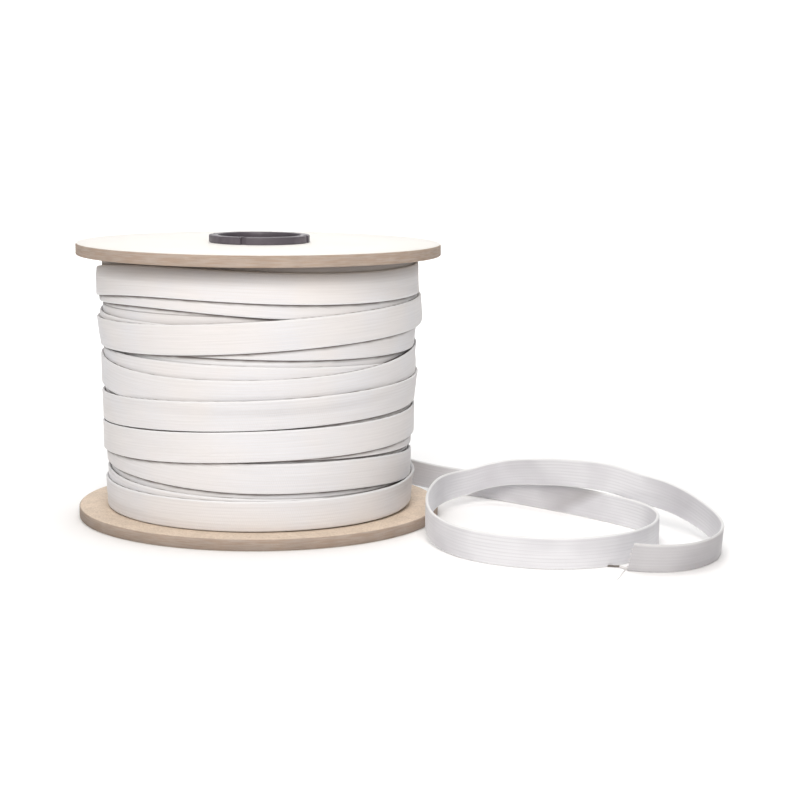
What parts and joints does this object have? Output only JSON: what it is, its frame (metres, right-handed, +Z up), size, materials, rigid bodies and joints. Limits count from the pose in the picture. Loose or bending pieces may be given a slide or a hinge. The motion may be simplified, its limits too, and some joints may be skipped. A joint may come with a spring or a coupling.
{
  "type": "roll of flat elastic on a flanged board spool",
  "caption": "Round board spool wound with white flat elastic, its loose end lying in two open loops beside it.",
  "frame": {"origin": "on the floor, under the middle of the box round the spool and its loose end", "axes": "+Z up along the spool's axis, +X from the spool towards the loose end's loops, -Y the front"},
  "size_m": [0.259, 0.1818, 0.1167],
  "materials": {
    "fibreboard": "matt fibreboard",
    "dark_plastic": "moulded, matt",
    "elastic": "woven flat elastic"
  },
  "bodies": {
    "root": {"bottom_flange": "fibreboard", "top_flange": "fibreboard", "hub": "dark_plastic", "winding": "elastic", "loose_end": "elastic"}
  },
  "joints": []
}
